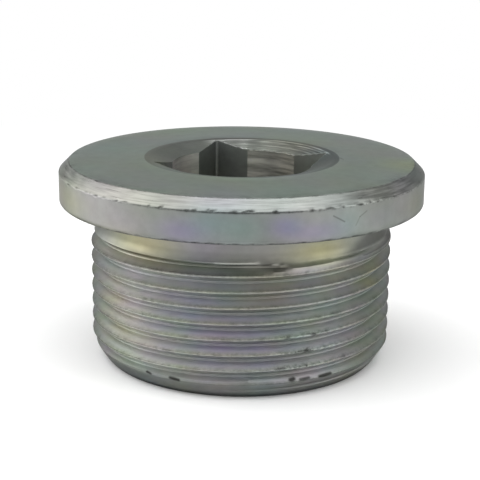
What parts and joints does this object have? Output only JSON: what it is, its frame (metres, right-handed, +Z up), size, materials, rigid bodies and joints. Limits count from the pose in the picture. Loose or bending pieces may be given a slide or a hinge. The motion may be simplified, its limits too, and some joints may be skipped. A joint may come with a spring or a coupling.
{
  "type": "square socket plug",
  "caption": "Round collar plug with a threaded shank, a relief under the collar, and a countersunk square drive socket with a bored pilot.",
  "frame": {"origin": "centre of the threaded shank's end face, on the plug's axis", "axes": "+Z up the plug's axis, out of the socket; X and Y square to the flats of the socket"},
  "size_m": [0.036, 0.036, 0.0199],
  "materials": {
    "zinc_plated_steel": "turned steel, zinc plated with a clear passivate that shows faint rainbow tints"
  },
  "bodies": {
    "root": {"plug_body": "zinc_plated_steel"}
  },
  "joints": []
}
